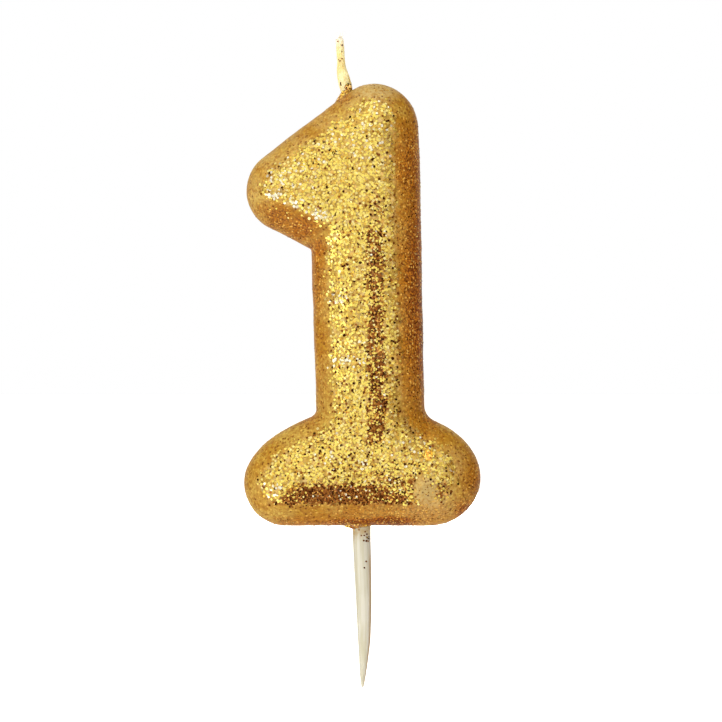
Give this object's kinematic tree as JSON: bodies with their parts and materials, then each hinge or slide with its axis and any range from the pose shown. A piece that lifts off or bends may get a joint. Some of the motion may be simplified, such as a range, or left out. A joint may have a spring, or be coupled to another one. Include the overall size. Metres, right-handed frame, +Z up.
{
  "type": "number birthday candle",
  "caption": "Puffy moulded wax numeral-one birthday candle with a gold glitter coat, a waxed plaited wick on its sloping shoulder and a tapered plastic cake pick under its foot.",
  "frame": {"origin": "on the pick's axis, level with the underside of the foot, where the pick leaves the candle", "axes": "+Z up towards the wick, -Z along the pick to its point, -Y out of the front face, +X to the right of someone who reads the numeral"},
  "size_m": [0.0375, 0.013, 0.1038],
  "materials": {
    "amber_wax": "translucent paraffin wax tinted amber",
    "gold_lacquer": "clear gold lacquer over glitter, smooth and glossy",
    "gold_foil": "mirror-bright metallised foil cut in small hexagons",
    "cotton": "plaited cotton yarn",
    "cream_wax": "smooth cream primer wax, slightly translucent",
    "cream_plastic": "glossy injection-moulded cream plastic"
  },
  "bodies": {
    "root": {"wax_body": "amber_wax", "glitter_coat": "gold_lacquer", "glitter_flakes": "gold_foil", "wick_ply_a": "cotton", "wick_ply_b": "cotton", "wick_ply_c": "cotton", "wick_wax": "cream_wax", "pick": "cream_plastic"}
  },
  "joints": []
}
